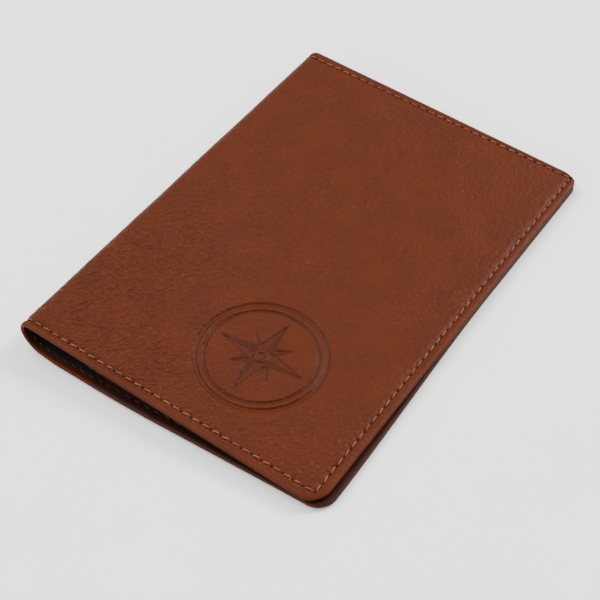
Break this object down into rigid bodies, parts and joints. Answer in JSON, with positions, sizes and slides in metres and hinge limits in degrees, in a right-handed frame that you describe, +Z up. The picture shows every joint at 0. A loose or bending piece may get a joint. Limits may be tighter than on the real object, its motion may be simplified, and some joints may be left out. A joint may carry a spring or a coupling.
{
  "type": "passport holder",
  "caption": "Folding stitched leather cover with a rolled spine, an inner sleeve on each side and card slots on one of them.",
  "frame": {"origin": "under the middle of the closed holder's box, on the surface that it lies on", "axes": "+X from the spine to the opening edge, +Y along the spine towards the top edge, +Z up out of the front cover"},
  "size_m": [0.098, 0.14, 0.01],
  "materials": {
    "outer_leather": "chestnut pebbled full-grain leather, satin",
    "pocket_leather": "chestnut smooth-grain leather, satin",
    "thread": "light tan waxed twisted thread",
    "board": "grey bonded fibre board, matt",
    "lining": "dark brown-black plain weave, matt"
  },
  "bodies": {
    "back_cover": {"back_outer_leather": "outer_leather", "back_stiffener_board": "board", "back_lining": "lining", "back_passport_sleeve": "pocket_leather", "back_needle_thread": "thread", "back_bobbin_thread": "thread", "back_sleeve_hem_thread": "thread"},
    "spine": {"spine_outer_leather": "outer_leather", "spine_reinforcement_tape": "board", "spine_lining": "lining", "spine_needle_thread_near": "thread", "spine_bobbin_thread_near": "thread", "spine_needle_thread_far": "thread", "spine_bobbin_thread_far": "thread"},
    "front_cover": {"front_outer_leather": "outer_leather", "front_stiffener_board": "board", "front_lining": "lining", "front_passport_sleeve": "pocket_leather", "front_needle_thread": "thread", "front_bobbin_thread": "thread", "front_sleeve_hem_thread": "thread", "card_facing_1": "pocket_leather", "card_facing_2": "pocket_leather", "card_facing_3": "pocket_leather", "card_pocket_tail_2": "lining", "card_pocket_tail_3": "lining", "card_block_thread": "thread"}
  },
  "joints": [
    {"name": "back_bend", "type": "hinge", "parent": "back_cover", "child": "spine", "pos_m": [-0.0475, 0, 0.00167], "axis": [0, -1, 0], "range_deg": [0, 92]},
    {"name": "front_bend", "type": "hinge", "parent": "spine", "child": "front_cover", "pos_m": [-0.04784, 0, 0.00911], "axis": [0, -1, 0], "range_deg": [0, 92]}
  ],
  "couplings": [
    {"joint": "back_bend", "follows": "front_bend", "ratio": 1}
  ]
}
